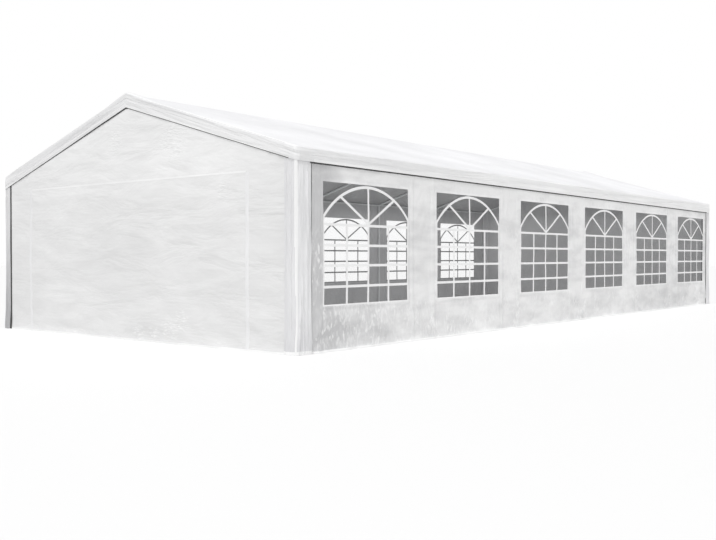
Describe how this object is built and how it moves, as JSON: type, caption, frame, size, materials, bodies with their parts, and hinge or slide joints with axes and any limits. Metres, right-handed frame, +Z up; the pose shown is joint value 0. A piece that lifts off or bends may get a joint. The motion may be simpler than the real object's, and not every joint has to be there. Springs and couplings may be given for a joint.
{
  "type": "marquee tent",
  "caption": "Long closed marquee tent: steel tube frame under white tarpaulin sheets, barred clear windows along both sides and a zipped door sheet in each gable.",
  "frame": {"origin": "on the ground, under the middle of the ridge", "axes": "+X across the tent to the right side as seen from the front gable, +Y along the ridge from the front gable to the back one, +Z up"},
  "size_m": [5.32, 12.224, 2.813],
  "materials": {
    "white_tarpaulin": "coated woven sheet, satin",
    "clear_foil": "clear, glossy",
    "galvanised_tube": "galvanised, dull"
  },
  "bodies": {
    "root": {"portal_frame_1": "galvanised_tube", "portal_frame_2": "galvanised_tube", "portal_frame_3": "galvanised_tube", "portal_frame_4": "galvanised_tube", "portal_frame_5": "galvanised_tube", "portal_frame_6": "galvanised_tube", "portal_frame_7": "galvanised_tube", "ridge_purlin": "galvanised_tube", "eave_purlin_left": "galvanised_tube", "eave_purlin_right": "galvanised_tube", "roof_slope_left": "white_tarpaulin", "roof_slope_right": "white_tarpaulin", "eave_valance_left": "white_tarpaulin", "eave_valance_right": "white_tarpaulin", "front_gable_trim_left": "white_tarpaulin", "front_gable_trim_right": "white_tarpaulin", "back_gable_trim_left": "white_tarpaulin", "back_gable_trim_right": "white_tarpaulin", "side_wall_left": "white_tarpaulin", "side_wall_right": "white_tarpaulin", "window_left_1": "clear_foil", "window_left_2": "clear_foil", "window_left_3": "clear_foil", "window_left_4": "clear_foil", "window_left_5": "clear_foil", "window_left_6": "clear_foil", "window_right_1": "clear_foil", "window_right_2": "clear_foil", "window_right_3": "clear_foil", "window_right_4": "clear_foil", "window_right_5": "clear_foil", "window_right_6": "clear_foil", "front_door_sheet": "white_tarpaulin", "front_gable_strip_left": "white_tarpaulin", "front_gable_strip_right": "white_tarpaulin", "front_gable_top": "white_tarpaulin", "back_door_sheet": "white_tarpaulin", "back_gable_strip_left": "white_tarpaulin", "back_gable_strip_right": "white_tarpaulin", "back_gable_top": "white_tarpaulin", "corner_sleeve_front_left": "white_tarpaulin", "corner_sleeve_front_right": "white_tarpaulin", "corner_sleeve_back_left": "white_tarpaulin", "corner_sleeve_back_right": "white_tarpaulin"}
  },
  "joints": []
}
